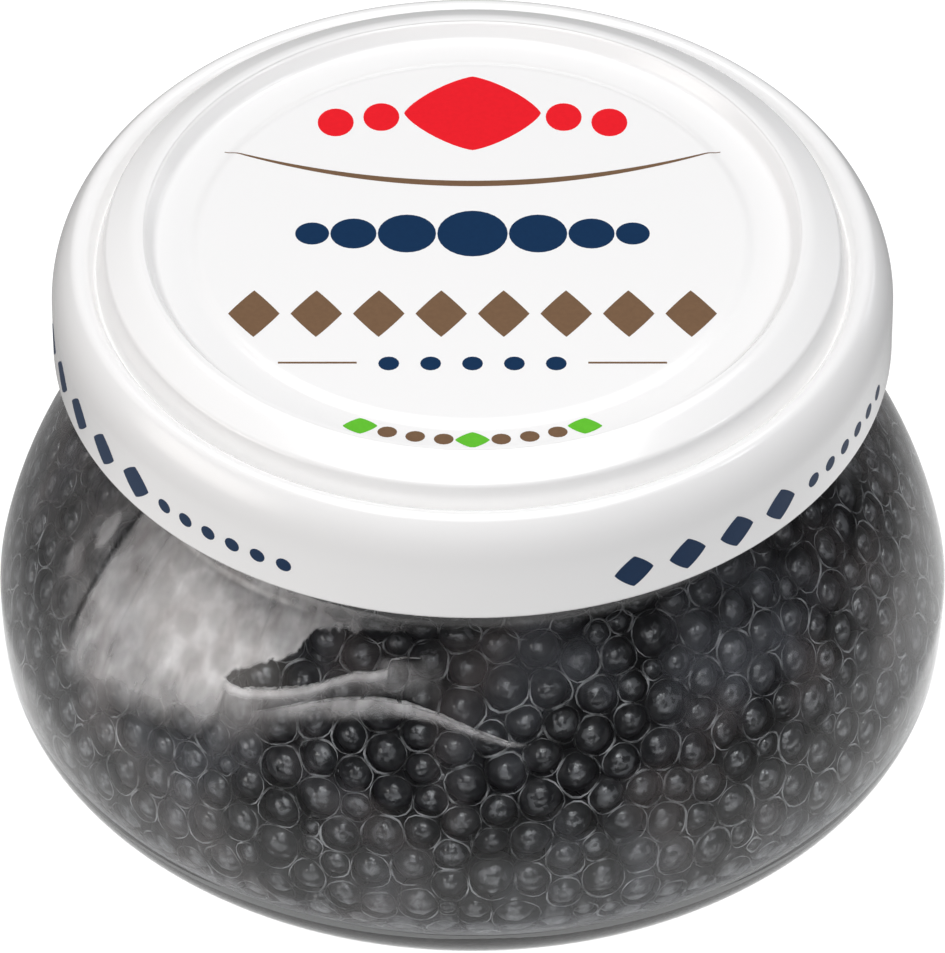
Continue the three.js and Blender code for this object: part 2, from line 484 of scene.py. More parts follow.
# %% Node tree for beads
def bead_tree():
    """Puts an uneven ball on every point of the guide mesh."""
    tree = bpy.data.node_groups.new("beads_on_places", "GeometryNodeTree")
    tree.is_modifier = True
    kinds = {"Places": "Geometry", "Dent": "Float", "Oval": "Float", "Seed": "Int", "Finish": "Material"}
    sockets = {
        name: tree.interface.new_socket(name, in_out="INPUT", socket_type="NodeSocket" + kind)
        for name, kind in kinds.items()
    }
    tree.interface.new_socket("Beads", in_out="OUTPUT", socket_type="NodeSocketGeometry")
    given = add_node(tree, "NodeGroupInput").outputs
    ball = add_node(tree, "GeometryNodeMeshIcoSphere", {"Radius": 1, "Subdivisions": 2})
    size = add_node(tree, "GeometryNodeInputNamedAttribute", {"Name": "bead_radius"}, data_type="FLOAT")
    spin = add_node(tree, "FunctionNodeRandomValue", {
        "Max": (6.28, 6.28, 6.28), "Seed": given["Seed"],
    }, data_type="FLOAT_VECTOR")
    squash = add_node(tree, "FunctionNodeRandomValue", {
        "Min": math_node(tree, "SUBTRACT", 1, given["Oval"]),
        "Max": math_node(tree, "ADD", 1, given["Oval"]),
        "Seed": given["Seed"],
    }, data_type="FLOAT_VECTOR")
    scale = add_node(tree, "ShaderNodeVectorMath", {
        "Vector": squash.outputs["Value"], "Scale": size.outputs["Attribute"],
    }, operation="SCALE")
    balls = add_node(tree, "GeometryNodeInstanceOnPoints", {
        "Points": given["Places"],
        "Instance": ball.outputs["Mesh"],
        "Rotation": spin.outputs["Value"],
        "Scale": scale.outputs["Vector"],
    })
    joined_balls = add_node(tree, "GeometryNodeRealizeInstances", {"Geometry": balls.outputs["Instances"]})
    dents = add_node(tree, "ShaderNodeTexNoise", {"Scale": 420, "Detail": 1}, noise_dimensions="3D")
    both_ways = add_node(tree, "ShaderNodeVectorMath", {
        0: dents.outputs["Color"], 1: (0.5, 0.5, 0.5),
    }, operation="SUBTRACT")
    offset = add_node(tree, "ShaderNodeVectorMath", {
        "Vector": both_ways.outputs["Vector"], "Scale": given["Dent"],
    }, operation="SCALE")
    dented = add_node(tree, "GeometryNodeSetPosition", {
        "Geometry": joined_balls.outputs["Geometry"], "Offset": offset.outputs["Vector"],
    })
    smooth = add_node(tree, "GeometryNodeSetShadeSmooth", {"Geometry": dented.outputs["Geometry"]})
    finished = add_node(tree, "GeometryNodeSetMaterial", {
        "Geometry": smooth.outputs["Geometry"], "Material": given["Finish"],
    })
    add_node(tree, "NodeGroupOutput", {"Beads": finished.outputs["Geometry"]})
    return tree, {name: socket.identifier for name, socket in sockets.items()}


beads_tree, bead_inputs = bead_tree()
print("bead tree has", len(beads_tree.nodes), "nodes")

# %% Finish of the beads
def distance_to_glass(tree):
    """How far a place lies inside the glass, in millimetres, from the arcs of the inner wall."""
    _, x, y, z = object_place(tree)
    across = long_side(tree, x, y)
    depths = []
    for centre, radius in ((shoulder_centre, inner_shoulder), (inner_heel_centre, inner_heel)):
        out = math_node(tree, "SUBTRACT", across, centre[0] * MM)
        up = math_node(tree, "SUBTRACT", z, centre[1] * MM)
        depths.append(math_node(tree, "MULTIPLY_ADD", long_side(tree, out, up), -1 / MM, radius))
    at_heel = math_node(tree, "LESS_THAN", z, inner_heel_centre[1] * MM)
    lower = math_node(tree, "MULTIPLY", depths[1], at_heel)
    upper = math_node(tree, "MULTIPLY", depths[0], math_node(tree, "SUBTRACT", 1, at_heel))
    return math_node(tree, "ADD", lower, upper)


# The skin of a bead is charcoal black and moist. It isn't an even mirror: under the gloss there
# are clouds and crisp flecks, which break up the reflections of the lamps. A ring round the place
# where a bead touches the glass is painted paler in its colour and broken into pieces: a painted
# reflection, beside the real reflections of the lamps.
bead_finish, tree, shader = new_finish("black_roe", {
    "Roughness": 0.28,
    "IOR": 1.5,
    "Coat Weight": 1.0,
    "Coat Roughness": 0.05,
})
flecks = noise_from_place(tree, 1100, 2)
skin_colour = tone_between(tree, flecks, (0.006, 0.006, 0.007), (0.024, 0.023, 0.024), 0.5, 0.6)
clouds = noise_from_place(tree, 750, 2)
middle_depth = math_node(tree, "ADD", distance_to_glass(tree), -0.45)
uneven_depth = math_node(tree, "MULTIPLY_ADD", clouds, 0.9, middle_depth)
# Painted reflection: a pale ring at a depth from the glass, broken up by noise.
patch = shades(tree, uneven_depth, ((0.2, 0), (0.23, 1), (0.4, 0.8), (0.5, 0.4), (0.53, 0)))
shards = tone_between(tree, noise_from_place(tree, 1300, 3), (0, 0, 0), (1, 1, 1), 0.47, 0.52)
painted_sheen = math_node(tree, "MULTIPLY", patch, shards)
fill_in(shader, {"Base Color": mixed_colour(tree, painted_sheen, skin_colour, (0.1, 0.1, 0.104, 1))})
relief(tree, shader, noise_from_place(tree, 620, 2), 0.25, 0.6)
print("bead finish has", len(tree.nodes), "nodes")

# %% Beads against the glass
def place_beads(name, places, sizes, inputs, material):
    """Runs the bead tree on a set of places and returns the finished piece."""
    guide = bpy.data.meshes.new(name)
    guide.from_pydata([tuple(place * MM) for place in places], [], [])
    attribute = guide.attributes.new("bead_radius", "FLOAT", "POINT")
    attribute.data.foreach_set("value", (sizes * MM).astype(np.float32))
    holder = bpy.data.objects.new(name, guide)
    bpy.context.scene.collection.objects.link(holder)
    modifier = holder.modifiers.new("beads", "NODES")
    modifier.node_group = beads_tree
    for socket, value in {**inputs, "Finish": material}.items():
        modifier[bead_inputs[socket]] = value
    ready = holder.evaluated_get(bpy.context.evaluated_depsgraph_get())
    mesh = bpy.data.meshes.new_from_object(ready)
    bpy.data.objects.remove(holder)
    mesh.name = name
    return add_piece(name, mesh, material)


skin = chance.uniform(0.12, 0.35, bead_count)
bead_places = on_wall(along, angle, radii + skin)
beads = place_beads(
    "beads_at_glass", bead_places, radii, {"Dent": 0.25 * MM, "Oval": 0.06, "Seed": 3}, bead_finish,
)

# %% [markdown]
# ## Beads behind, and the core
# Between the first beads the next ones show. A second layer, about 2 mm further in, is enough:
# behind it nothing can be seen, so one dark core fills the middle instead of thousands of beads.

# %% Second layer and core
behind_count, behind_gap = 1050, 2.5
behind_radii = np.clip(chance.normal(1.5, 0.1, behind_count), 1.2, 1.8)
behind_along, behind_angle = settle(behind_radii, 3.9, seed=11, rounds=60)
behind_places = on_wall(behind_along, behind_angle, behind_gap + behind_radii)
beads_behind = place_beads(
    "beads_behind", behind_places, behind_radii, {"Dent": 0.2 * MM, "Oval": 0.05, "Seed": 9}, bead_finish,
)

core_lengths = np.linspace(24, line_length - 0.5, 60)
core_depths = np.interp(line_height(core_lengths), [2, 5, 11, 45], [0.9, 0.9, 3.6, 3.6])
core_line = on_wall(core_lengths, 0, core_depths)
core_profile = [(0, core_line[0][2]), *[(x, z) for x, y, z in core_line], (0, core_line[-1][2])]
core_finish, tree, shader = new_finish("deep_roe", {"Roughness": 0.85, "IOR": 1.2})
deep_colour = tone_between(tree, noise_from_place(tree, 500, 3), (0.002, 0.002, 0.002), (0.012, 0.012, 0.012))
fill_in(shader, {"Base Color": deep_colour})
core = add_piece("roe_core", turned("core", core_profile, 96), core_finish)

# %% [markdown]
# ## Cell outlines
# Where the beads press on the glass, jelly gathers between them in a fine line round each bead.
# The jelly is clear, so the pale colour of the lines is a painted highlight: the light that its
# meniscus catches. The lines are nearly round where there is room and straight where two beads
# meet, as in a honeycomb. Each is worked out from its own bead: in every direction it stops at the
# bead's own size or half way to the next bead. A line is a thin closed loop with three sides.

# %% Loops round the beads
loop_steps = 18
loop_outer, loop_inner, loop_spare = 0.07, 0.16, 0.2
loop_directions = np.linspace(0, 2 * math.pi, loop_steps, endpoint=False)


def loop_reach(index, centres, up_wall, round_wall):
    """How far the outline of one bead reaches in each direction along the wall."""
    between = centres - centres[index]
    apart = np.linalg.norm(between, axis=1)
    near = np.nonzero((apart < neighbour_reach) & (apart > 0))[0]
    halfway = (apart[near] ** 2 + radii[index] ** 2 - radii[near] ** 2) / (2 * apart[near])
    near_up = between[near] @ up_wall[index] / apart[near]
    near_round = between[near] @ round_wall[index] / apart[near]
    towards = np.outer(np.cos(loop_directions), near_up) + np.outer(np.sin(loop_directions), near_round)
    limits = halfway[None] / np.maximum(towards, 0.15) - 0.03
    reach = np.minimum(limits.min(axis=1), chance.uniform(1.04, 1.3) * radii[index])
    smoothed = (np.roll(reach, 1) + 2 * reach + np.roll(reach, -1)) / 4
    return np.maximum(smoothed, 0.4)


def cell_outlines():
    """All outlines as one mesh of closed three-sided loops."""
    centres = on_wall(along, angle, bead_depth)
    up_wall, round_wall = wall_directions(along, angle, bead_depth)
    wall_radius = np.maximum(line_radius(along), 1.5)
    points = []
    faces = []
    for bead in range(bead_count):
        reach = loop_reach(bead, centres, up_wall, round_wall)
        swell = np.sin(loop_directions * chance.integers(1, 4) + chance.random() * 6)
        half = chance.uniform(0.04, 0.08) * (1 + 0.6 * swell)
        if reach.max() + loop_spare > min(along[bead], line_length - along[bead]):
            continue
        start = len(points)
        for side, depth in ((half, loop_outer), (-half, loop_outer), (0 * half, loop_inner)):
            out = reach + side
            lengths = along[bead] + out * np.cos(loop_directions)
            turns = angle[bead] + out * np.sin(loop_directions) / wall_radius[bead]
            points.extend(on_wall(lengths, turns, depth))
        for i in range(loop_steps):
            j = (i + 1) % loop_steps
            for side in range(3):
                a, b = start + side * loop_steps, start + (side + 1) % 3 * loop_steps
                faces.append((a + i, b + i, b + j, a + j))
    return points, faces


outline_mesh = mesh_from("outlines", *cell_outlines(), no_crease)
outline_finish, tree, shader = new_finish("jelly_lines", {"Roughness": 0.35, "IOR": 1.4})
# The lines are clear jelly; their pale colour is a painted highlight of the meniscus.
breaks = noise_from_place(tree, 480, 4)
line_highlight_colour = tone_between(tree, breaks, (0.012, 0.012, 0.012), (0.45, 0.45, 0.455), 0.44, 0.7)
fill_in(shader, {"Base Color": line_highlight_colour})
outlines = add_piece("cell_outlines", outline_mesh, outline_finish)

# %% [markdown]
# ## The jelly
# A clear jelly fills what the beads leave free, and wets the glass, so no air shows between them.
# It has no solid in the CAD model. It is one turned body that reaches just into the glass wall.
# It bends light as the wet glass does, so it needs no bending of its own: it is almost fully
# see-through, and only thin clouds in it show, as a pale veil over the beads. Low in the heel the
# veil is made thicker and whiter. This is a painted glow that stands in for the light of the
# table there.

# %% Jelly
into_glass = 0.06
jelly_profile = [
    (0, floor_height - into_glass),
    *jar_inside(-into_glass, 16),
    (bore_radius + into_glass, fill_height + 0.6),
    (bore_radius - 0.5, fill_height + 0.1),
    (bore_radius - 1.5, fill_height),
    (0, fill_height),
]
jelly_finish, tree, shader = new_finish("clear_jelly", {"Roughness": 0.3, "IOR": 1.37})
veil = spread(tree, noise_from_place(tree, 110, 4), 0.46, 0.75, 0.0, 0.14, "LINEAR")
_, x, y, z = object_place(tree)
# Painted glow: near the floor and out in the heel the veil grows thicker and whiter.
near_floor = spread(tree, z, 6.5 * MM, 1.8 * MM, 0.0, 0.35)
in_heel = spread(tree, long_side(tree, x, y), 30 * MM, 34.5 * MM, 0.0, 1.0)
heel_glow = math_node(tree, "MULTIPLY", near_floor, in_heel)
warm, cool, white = (0.5, 0.43, 0.42), (0.46, 0.48, 0.54), (0.85, 0.85, 0.87, 1)
murk = tone_between(tree, noise_from_place(tree, 80, 2), warm, cool, 0.42, 0.58)
pale = math_node(tree, "MULTIPLY", heel_glow, 4)
fill_in(shader, {
    "Alpha": math_node(tree, "ADD", veil, heel_glow),
    "Base Color": mixed_colour(tree, pale, murk, white),
})
jelly = add_piece("jelly", turned("jelly", jelly_profile, 160), jelly_finish)

# %% [markdown]
# ## The smear on the left
# On the left the jelly has dried on the glass in a thin pale film. It is streaked from top to
# bottom, and a hole shaped like a leaf lets the black beads show. Wet edges shine along the hole
# and along a second band below it. That shine is a painted highlight, a pale colour in their finish
# and in the film along the hole. Near the lid the film is made thinner, as painted shade. A film is
# a sheet that lies on the inner wall, and how much it covers is painted at each of its points as
# an attribute, from the curves of its edges. Its places are named by the turn round the axis, in
# degrees from the front, and by their height.

# %% How much the film covers
def ease(value, start, end):
    """A smooth step from 0 at the start to 1 at the end."""
    part = np.clip((value - start) / (end - start), 0, 1)
    return part * part * (3 - 2 * part)


def follow(curve, turns):
    """The height of a curve of [turn, height] points at the given turns."""
    return np.interp(turns, [point[0] for point in curve], [point[1] for point in curve])


def hump(value, middle, width):
    """A soft bump of height 1 round a middle."""
    return np.exp(-((value - middle) / width) ** 2)


film_edge = [
    (-96, 19), (-88, 19), (-76, 15), (-70, 12), (-65, 12), (-55, 13), (-47.6, 14.5), (-38, 16.2),
    (-33, 18), (-28, 20), (-22, 22), (-16, 23.5), (-10, 25.5), (0, 27.6),
]
film_strength = [
    (-96, 0.03), (-80, 0.06), (-66, 0.12), (-63.5, 0.52), (-56, 0.8), (-46, 0.98), (-38, 1.0),
    (-28, 0.95), (-24, 0.6), (-17, 0.34), (-9, 0.14), (-2, 0),
]
leaf_tip = -37
leaf_top = [
    (-36.9, 21.7), (-36.6, 22.1), (-34.1, 23.3), (-30.5, 24.35), (-27.05, 25.1), (-26.85, 26),
    (-25.1, 27), (-21.5, 27.5), (-15, 27.8), (0, 28.6),
]
upper_ridge = [
    (-36.9, 21.6), (-35.5, 21.35), (-33.9, 21.4), (-29, 22.25), (-24.2, 23.2), (-20.7, 24.15),
    (-17.9, 24.85), (-14.5, 25.2), (-12.9, 25.45), (-12.6, 26.1), (-10.5, 26.35), (-8, 26.4),
]
band_top = [
    (-31, 20.3), (-24.7, 22), (-19.1, 23.05), (-14.3, 23.5), (-9.4, 23.5), (-4.6, 22.9), (1.1, 21.75),
    (4.8, 21), (7.9, 20.65),
]
band_bottom = [
    (-31, 19.5), (-24, 20.7), (-18.5, 21.4), (-14, 22), (-9.2, 22.4), (-4.5, 22.15), (1.1, 21.2),
    (4.8, 20.65), (7.9, 20.55),
]
pale_spots = [
    (-68.3, 24.1, 1.0, 1.8, 0.3), (-47.9, 25.5, 0.8, 1.9, 0.4), (-53.9, 20.3, 1.5, 1.2, 0.3),
    (-57, 16.5, 1.6, 1.4, 0.16), (-44, 22.3, 1.4, 1.1, 0.16), (-61, 23.2, 0.9, 1.5, 0.16),
    (-41, 19.4, 1.5, 1.3, 0.12), (-71, 20.5, 1.1, 1.6, 0.12), (-50, 17.8, 1.2, 1.2, 0.12),
]


def uneven(turns, heights, turn_step, height_step, seed):
    """Soft random patches between 0 and 1, stretched as the two steps say."""
    chance = np.random.default_rng(seed)
    grid = chance.random((int(120 / turn_step) + 3, int(30 / height_step) + 3))
    u = (turns + 100) / turn_step
    v = heights / height_step
    i, j = np.floor(u).astype(int), np.floor(v).astype(int)
    a, b = ease(u - i, 0, 1), ease(v - j, 0, 1)
    low = grid[i, j] * (1 - a) + grid[i + 1, j] * a
    high = grid[i, j + 1] * (1 - a) + grid[i + 1, j + 1] * a
    return low * (1 - b) + high * b


def film_cover(turns, heights):
    """How much of the view the film covers at each place, from 0 to 1."""
    streaks = 0.5 * uneven(turns, heights, 0.55, 5, 21) + 0.5 * uneven(turns, heights, 1.7, 9, 22)
    patches = uneven(turns, heights, 6, 3.5, 23)
    ragged = 0.6 * (uneven(turns, heights, 0.7, 0.7, 24) - 0.5)
    # The sheet grows upwards from its edge. Near the lid it is made thinner, which is painted
    # shade of the lid, and a pale rim above the leaf is a painted highlight.
    over_leaf = heights - follow(leaf_top, turns)
    cover = ease(heights - follow(film_edge, turns), 0, 7) * follow(film_strength, turns)
    cover *= 1 - 0.4 * ease(heights, 25.5, 28.5) * (turns > -50)
    cover += 0.3 * hump(over_leaf, 0.5, 0.9) * ease(turns, -38, -34) * (1 - ease(turns, -28, -26))
    cover *= 0.4 + 0.85 * streaks + 0.4 * patches
    # Two scratches run down through it, a broad dark one and a fine one that leans.
    cover *= 1 - 0.9 * hump(turns, -64.8, 0.75) * ease(heights, 14, 18)
    cover *= 1 - 0.4 * hump(turns, -56.3 - 0.08 * (heights - 20), 0.35) * ease(heights, 14, 17)
    # Below the leaf is a bright ridge that fades downwards. Its bright line is a painted
    # highlight of the wet edge. The leaf itself is a hole.
    under = follow(upper_ridge, turns) - heights
    below = ease(under, 0, 0.1) * ease(turns, -38, -35) * (turns < -12.7)
    fall = np.interp(turns, [leaf_tip, -30, -13], [1.9, 1.1, 0.6])
    ridge = 0.45 * np.exp(-np.maximum(under, 0) / fall) * (0.3 + streaks) + 0.8 * hump(under, 0.2, 0.3)
    cover = np.maximum(cover * (1 - below), below * ridge)
    in_leaf = ease(-under, 0, 0.1) * ease(-over_leaf + ragged, 0, 0.25) * (turns > leaf_tip)
    cover *= 1 - in_leaf
    # A second band lies lower, and a faint patch joins it to the end of the ridge.
    inside_band = ease(follow(band_top, turns) - heights, 0, 0.15) * ease(
        heights, follow(band_bottom, turns) - 0.1, follow(band_top, turns),
    )
    band_strength = np.interp(turns, [-33, -27, -14, -3, 5, 7.9], [0, 0.5, 1.1, 1, 0.8, 0])
    cover += inside_band * band_strength * (0.4 + 0.6 * streaks)
    beside = ease(26.0 + 1.2 * patches - heights, 0, 0.8) * ease(heights - follow(band_top, turns), 0, 1.5)
    beside *= ease(turns, -15, -12.5) * (1 - ease(turns, -11, -3 + 2 * ragged))
    cover += 0.28 * beside * (0.2 + streaks)
    # Single pale spots are drops that dried by themselves.
    for turn, height, wide, tall, strength in pale_spots:
        across = (turns - turn) * math.radians(30)
        away = np.hypot(across / wide, (heights - height) / tall)
        cover += strength * (1 - ease(away, 0.55, 1))
    return np.clip(cover, 0, 0.92)


# %% Film on the inner wall
film_out, film_in = 0.02, 0.05
fine_lengths = np.arange(0, line_length, 0.05)
film_heights = 12 + 17.5 * np.linspace(0, 1, 120)
film_lengths = np.interp(film_heights, line_height(fine_lengths), fine_lengths)
turn_grid, length_grid = np.meshgrid(np.arange(-95, 10, 0.36), film_lengths, indexing="ij")
film_layers = [
    on_wall(length_grid, np.radians(turn_grid - 90), depth).reshape(-1, 3) for depth in (0, film_out, film_in)
]
nearest = kdtree.KDTree(bead_count)
for bead, place in enumerate(bead_places):
    nearest.insert(place, bead)
nearest.balance()
found = [nearest.find(place)[1:] for place in film_layers[0]]
from_bead = np.array([apart / (radii[bead] + skin[bead]) for bead, apart in found]).reshape(turn_grid.shape)
print("film is", round(float(from_bead.mean()), 2), "bead radii from the beads' middles")
between_beads = 0.66 + 0.46 * ease(from_bead, 1.04, 1.3)
cover_grid = np.clip(film_cover(turn_grid, line_height(length_grid)) * between_beads, 0, 0.95)


def two_sided(upper, lower, faces):
    """Points and faces of a closed sheet: faces on one side, the same below, and walls between."""
    count = len(upper)
    edges = {(a, b): True for face in faces for a, b in zip(face, face[1:] + face[:1])}
    walls = [(b, a, a + count, b + count) for a, b in edges if (b, a) not in edges]
    under = [tuple(k + count for k in face[::-1]) for face in faces]
    return [*upper, *lower], [*faces, *under, *walls]


across = len(film_lengths)
shown = cover_grid > 0.012
kept = shown[:-1, :-1] | shown[1:, :-1] | shown[:-1, 1:] | shown[1:, 1:]
corners = (0, across, across + 1, 1)
film_faces = [tuple(int(i * across + j + k) for k in corners) for i, j in zip(*np.nonzero(kept))]
film_mesh = mesh_from("dried_film", *two_sided(*film_layers[1:], film_faces), no_crease)
cover = film_mesh.attributes.new("cover", "FLOAT", "POINT")
cover.data.foreach_set("value", np.tile(cover_grid.ravel(), 2).astype(np.float32))
body = bmesh.new()
body.from_mesh(film_mesh)
loose = [point for point in body.verts if not point.link_faces]
bmesh.ops.delete(body, geom=loose, context="VERTS")
body.to_mesh(film_mesh)
body.free()

# %% Film finish
film_finish, tree, shader = new_finish("dried_film", {"Roughness": 0.42, "IOR": 1.5, "Metallic": 0.45})
cloud = noise_from_place(tree, 500, 5, (1, 1, 0.35))
grain = spread(tree, noise_from_place(tree, 1400, 4, (1, 1, 0.4)), 0, 1, 0.55, 1.1, "LINEAR")
covered = add_node(tree, "ShaderNodeAttribute", attribute_name="cover")
fill_in(shader, {
    "Base Color": tone_between(tree, cloud, (0.55, 0.51, 0.5), (0.93, 0.9, 0.89), 0.3, 0.7),
    "Alpha": math_node(tree, "MULTIPLY", covered.outputs["Fac"], grain),
})
film = add_piece("dried_film", film_mesh, film_finish)

# %% Wet edges
def joined(shapes):
    """The points and faces of several shapes as those of one."""
    points = []
    faces = []
    for shape_points, shape_faces in shapes:
        start = len(points)
        points.extend(shape_points)
        faces.extend([tuple(start + k for k in face) for face in shape_faces])
    return points, faces


def wet_edge(curve, widths, seed, steps=150, sides=6):
    """Points and faces of a flat closed rope along a curve on the inner wall."""
    chance = np.random.default_rng(seed)
    turns = np.linspace(curve[0][0], curve[-1][0], steps)
    wide = np.interp(np.linspace(0, 1, steps), np.linspace(0, 1, len(widths)), widths)
    wide = wide * np.convolve(chance.uniform(0.6, 1.4, steps + 2), [0.25, 0.5, 0.25], "valid")
    lengths = np.interp(follow(curve, turns), line_height(fine_lengths), fine_lengths)
    rings = [
        on_wall(lengths + wide * math.cos(a), np.radians(turns - 90), 0.1 + wide * 0.6 * (1 + math.sin(a)))
        for a in np.linspace(0, 2 * math.pi, sides, endpoint=False)
    ]
    faces = [tuple(range(sides)), tuple(range(steps * sides - 1, (steps - 1) * sides - 1, -1))]
    for i in range(0, (steps - 1) * sides, sides):
        for k in range(sides):
            a, b = i + k, i + (k + 1) % sides
            faces.append((a, a + sides, b + sides, b))
    return np.stack(rings, axis=1).reshape(-1, 3), faces


edge_mesh = mesh_from("wet_edges", *joined([
    wet_edge(upper_ridge, (0.03, 0.22, 0.26, 0.2, 0.14, 0.15, 0.1, 0.03), seed=1),
    wet_edge(band_top, (0.02, 0.05, 0.12, 0.16, 0.14, 0.12, 0.09, 0.02), seed=2),
]), no_crease)
edge_finish, tree, shader = new_finish("wet_jelly_edge", {"Roughness": 0.3, "IOR": 1.4})
# The pale colour of the wet edges is a painted highlight: the light that their meniscus catches.
gleam = noise_from_place(tree, 1200, 4)
edge_highlight_colour = tone_between(tree, gleam, (0.3, 0.28, 0.27), (0.88, 0.86, 0.85), 0.35, 0.6)
fill_in(shader, {"Base Color": edge_highlight_colour})
edges = add_piece("wet_edges", edge_mesh, edge_finish)

# %% [markdown]
# ## The lid
# The lid is pressed from one sheet of steel. From outside to inside it has the rolled edge, the
# plain skirt, a round shoulder, a raised lip, a groove, the highest ring and the sunken panel
# with a low step. All of them are in one profile, so it is turned like the jar, with the same
# sizes as the CAD model but with rounder corners, which catch the light as pressed metal does.

# %% Lid profile
skirt_radius, skirt_bottom = 34.75, 35.2
curl_height, curl_depth, sheet = 1.4, 1.5, 0.55
lid_shoulder, lid_shoulder_height, lid_shoulder_turn = 6.1, 40.4, 42
lip_radius, lip_end = 1, 150
groove_radius, groove_height = 31.1, 43.3
crest_edge_radius, crest_edge_height = 30.4, 45.8
crest_radius, crest_height = 27.5, 47.2
panel_radius, panel_height = 26.2, 45.8
step_outer, step_inner, step_height = 23.3, 22.5, 0.3


def rounded(corners, steps=5):
    """Points through corners [radius, height, rounding], each cut by a smooth bend."""
    points = []
    for k, (r, z, rounding) in enumerate(corners):
        if rounding == 0 or k in (0, len(corners) - 1):
            points.append((r, z))
            continue
        here = np.array((r, z))
        before = np.array(corners[k - 1][:2]) - here
        after = np.array(corners[k + 1][:2]) - here
        start = here + before / np.linalg.norm(before) * rounding
        end = here + after / np.linalg.norm(after) * rounding
        for t in np.linspace(0, 1, steps + 1):
            bend = (1 - t) ** 2 * start + 2 * t * (1 - t) * here + t ** 2 * end
            points.append(tuple(bend))
    return points


lid_shoulder_centre = (skirt_radius - lid_shoulder, lid_shoulder_height)
lip_centre = point_at(lid_shoulder_centre, lid_shoulder - lip_radius, lid_shoulder_turn)
lid_top = rounded([
    (*point_at(lip_centre, lip_radius, lip_end), 0),
    (groove_radius, groove_height, 0.35),
    (crest_edge_radius - 0.1, crest_edge_height + 0.05, 0.28),
    (crest_radius + 0.3, crest_height - 0.02, 0.7),
    (crest_radius - 0.45, crest_height - 0.02, 0.35),
    (panel_radius, panel_height, 0.4),
    (step_outer, panel_height, 0.35),
    (step_inner, panel_height + step_height, 0.35),
    (0, panel_height + step_height, 0),
])
curl = curl_height / 2
skirt_profile = [
    *arc((skirt_radius - curl, skirt_bottom + curl), curl, -90, 0, 8),
    *arc(lid_shoulder_centre, lid_shoulder, 0, lid_shoulder_turn, 16),
    *arc(lip_centre, lip_radius, lid_shoulder_turn, lip_end, 12)[1:],
]
lid_underside = [
    (0, panel_height - sheet),
    (panel_radius + sheet, panel_height - sheet),
    (crest_radius + sheet / 2, crest_height - 2 * sheet),
    (crest_edge_radius - sheet, crest_edge_height - sheet),
    (groove_radius - 2 * sheet, groove_height - sheet),
    (groove_radius + 0.4, groove_height - sheet),
    *arc(lid_shoulder_centre, lid_shoulder - sheet, lid_shoulder_turn, 0, 10),
    (skirt_radius - sheet, skirt_bottom + curl_height),
    (skirt_radius - curl_depth, skirt_bottom + curl_height),
    (skirt_radius - curl_depth - 0.05, skirt_bottom + 0.3),
]
lid_mesh = turned("lid", lid_underside + skirt_profile + lid_top[1:], 256)

# %% Lid enamel
enamel_finish, tree, shader = new_finish("white_enamel", {
    "Base Color": (0.87, 0.865, 0.86, 1),
    "Roughness": 0.2,
    "IOR": 1.5,
    "Coat Weight": 0.4,
    "Coat Roughness": 0.06,
})
relief(tree, shader, noise_from_place(tree, 900, 2), 0.01, 0.35)
lid = add_piece("white_lid", lid_mesh, enamel_finish)

# %% [markdown]
# ## The print on the lid
# The lid of such a jar is printed before it is pressed. The print here is a plain pattern in
# navy, brown, red and green. Colours mixed by a texture would have soft edges at this size, so
# each shape is its own thin sheet, which follows the pressed steel up and down and stands out of
# the enamel by less than the thickness of a hair.

# %% Sheets of ink
ink_rise, ink_sink = 0.015, -0.02


def lid_height(radius):
    """The height of the top of the lid at a distance from its middle."""
    profile = lid_top[::-1]
    return np.interp(radius, [point[0] for point in profile], [point[1] for point in profile])


def on_top(x, y, rise):
    """A place on the top of the lid."""
    return (x, y, float(lid_height(math.hypot(x, y))) + rise)


def on_skirt(turn, height, rise):
    """A place on the skirt, at a turn in degrees from the front."""
    angle = math.radians(turn - 90)
    radius = skirt_radius + rise
    return (radius * math.cos(angle), radius * math.sin(angle), height)


def ink_sheet(spots, faces, place):
    """A closed sheet of ink over spots of the lid."""
    layers = [[place(u, v, rise) for u, v in spots] for rise in (ink_rise, ink_sink)]
    return two_sided(*layers, faces)


def ink_spot(outline, middle, place, rings=3):
    """Points and faces of one printed shape, from its outline round a middle."""
    count = len(outline)
    spots = [middle]
    for ring in range(1, rings + 1):
        spots.extend((middle[0] + u * ring / rings, middle[1] + v * ring / rings) for u, v in outline)
    faces = []
    for i in range(count):
        j = (i + 1) % count
        faces.append((0, 1 + i, 1 + j))
        for ring in range(1, (rings - 1) * count, count):
            a, b = ring + i, ring + j
            faces.append((a, a + count, b + count, b))
    return ink_sheet(spots, faces, place)


def oval(width, height, steps=28, power=1.0):
    """An outline: a circle or oval at power 1, a lozenge with hollow sides at higher powers."""
    outline = []
    for k in range(steps):
        angle = 2 * math.pi * k / steps
        across, up = math.cos(angle), math.sin(angle)
        outline.append((
            width / 2 * math.copysign(abs(across) ** power, across),
            height / 2 * math.copysign(abs(up) ** power, up),
        ))
    return outline


def printed(name, shapes, material):
    """All shapes of one colour as one piece."""
    return add_piece(name, mesh_from(name, *joined(shapes), 60), material)


def ink(name, dark, pale):
    """An ink, a little uneven as a printed colour is."""
    material, tree, shader = new_finish(name, {"Roughness": 0.45, "IOR": 1.25})
    fill_in(shader, {"Base Color": tone_between(tree, noise_from_place(tree, 2500, 3), dark, pale)})
    return material


navy = ink("navy_ink", (0.0, 0.02, 0.068), (0.001, 0.026, 0.082))
brown = ink("brown_ink", (0.14, 0.08, 0.043), (0.185, 0.105, 0.056))
red = ink("red_ink", (0.7, 0.005, 0.013), (0.8, 0.008, 0.018))
green = ink("green_ink", (0.09, 0.43, 0.02), (0.13, 0.52, 0.03))
print("ink stands out by", ink_rise, "mm")

